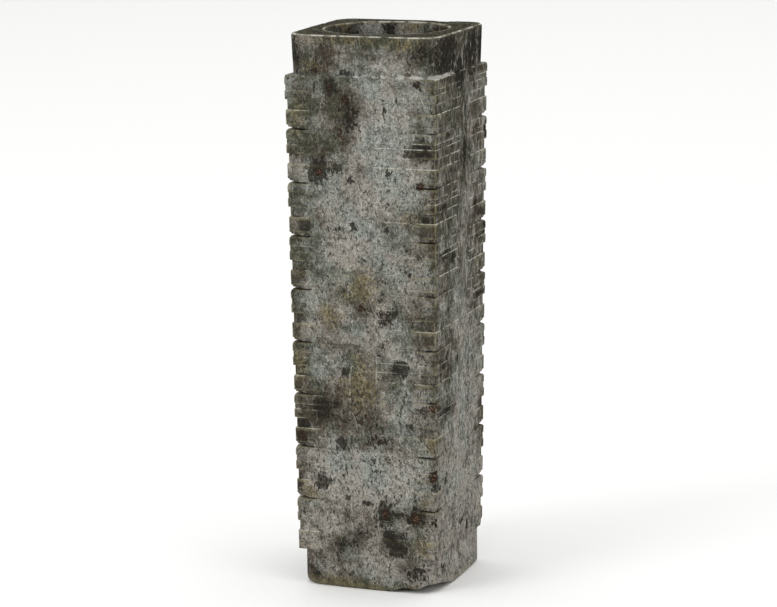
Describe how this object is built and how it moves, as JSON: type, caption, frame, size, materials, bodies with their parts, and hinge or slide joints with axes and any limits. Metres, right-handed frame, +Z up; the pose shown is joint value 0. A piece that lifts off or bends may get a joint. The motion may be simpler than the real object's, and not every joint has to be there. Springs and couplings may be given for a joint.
{
  "type": "jade cong",
  "caption": "Tall square jade cong with tiered mask carving on its corners, a round-cornered collar at each end and a bore right through.",
  "frame": {"origin": "centre of the underside of the base collar, on the axis of the bore", "axes": "+Z up along the bore, -Y out of the front face, +X out of the right face"},
  "size_m": [0.07, 0.07, 0.2467],
  "materials": {
    "jade": "satin"
  },
  "bodies": {
    "root": {"cong": "jade"}
  },
  "joints": []
}
